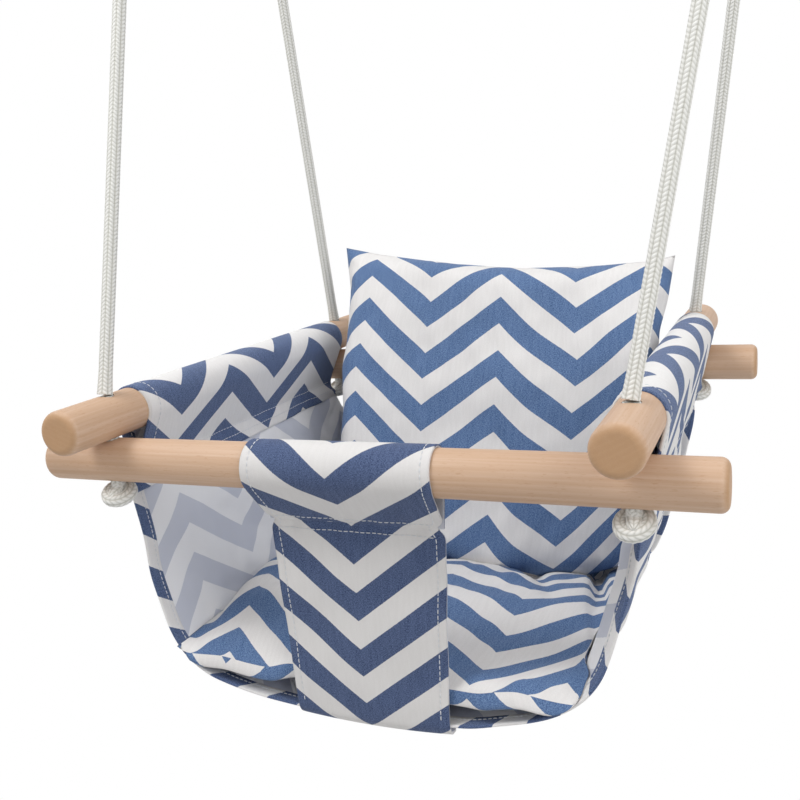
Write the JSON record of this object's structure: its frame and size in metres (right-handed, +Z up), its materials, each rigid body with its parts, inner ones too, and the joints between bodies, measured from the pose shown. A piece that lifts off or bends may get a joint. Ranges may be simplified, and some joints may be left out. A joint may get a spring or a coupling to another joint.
{
  "type": "hanging baby swing",
  "caption": "Hanging cloth baby seat: crossed round wooden rails on braided ropes, canvas sling with crotch strap, and loose seat and back cushions.",
  "frame": {"origin": "at the height where the hooks bear in the four rope eyes, midway between the four rails", "axes": "+X to the right as seen from the front, along the front rail, which is the sitting child's left; +Y to the rear; +Z up along the ropes"},
  "size_m": [0.474, 0.45, 0.6115],
  "materials": {
    "beech": "satin",
    "canvas": "matte",
    "cushion_canvas": "matte",
    "filling": "matte",
    "rope": "matte"
  },
  "bodies": {
    "hanging_eyes": {"front_left_eye": "rope", "front_right_eye": "rope", "back_left_eye": "rope", "back_right_eye": "rope"},
    "front_ropes": {"front_left_rope": "rope", "front_right_rope": "rope"},
    "seat": {"front_rail": "beech", "back_rail": "beech", "left_rail": "beech", "right_rail": "beech", "left_sleeve": "canvas", "right_sleeve": "canvas", "sling": "canvas", "back_sleeve": "canvas", "back_panel": "canvas", "strap_sleeve": "canvas", "crotch_strap": "canvas", "seat_cushion_cover": "cushion_canvas", "seat_cushion_filling": "filling", "front_left_rope_core": "rope", "front_left_knot": "rope", "front_right_rope_core": "rope", "front_right_knot": "rope", "back_left_rope_core": "rope", "back_left_knot": "rope", "back_right_rope_core": "rope", "back_right_knot": "rope"},
    "back_ropes": {"back_left_rope": "rope", "back_right_rope": "rope"},
    "back_cushion": {"back_cushion_cover": "cushion_canvas", "back_cushion_filling": "filling"}
  },
  "joints": [
    {"name": "front_rope_swing", "type": "hinge", "parent": "hanging_eyes", "child": "front_ropes", "pos_m": [0, -0.09826, -0.054], "axis": [1, 0, 0], "range_deg": [-20, 20]},
    {"name": "seat_tilt", "type": "hinge", "parent": "front_ropes", "child": "seat", "pos_m": [0, -0.175, -0.358], "axis": [1, 0, 0], "range_deg": [-12.7, 12.7]},
    {"name": "back_rope_swing", "type": "hinge", "parent": "seat", "child": "back_ropes", "pos_m": [0, 0.175, -0.358], "axis": [1, 0, 0], "range_deg": [-12.7, 12.7]},
    {"name": "back_cushion_lift", "type": "slide", "parent": "seat", "child": "back_cushion", "axis": [0, 0.3156, 0.9489], "range_m": [0, 0.2]}
  ],
  "couplings": [
    {"joint": "seat_tilt", "follows": "front_rope_swing", "ratio": -0.63017},
    {"joint": "back_rope_swing", "follows": "front_rope_swing", "ratio": 0.63017}
  ]
}
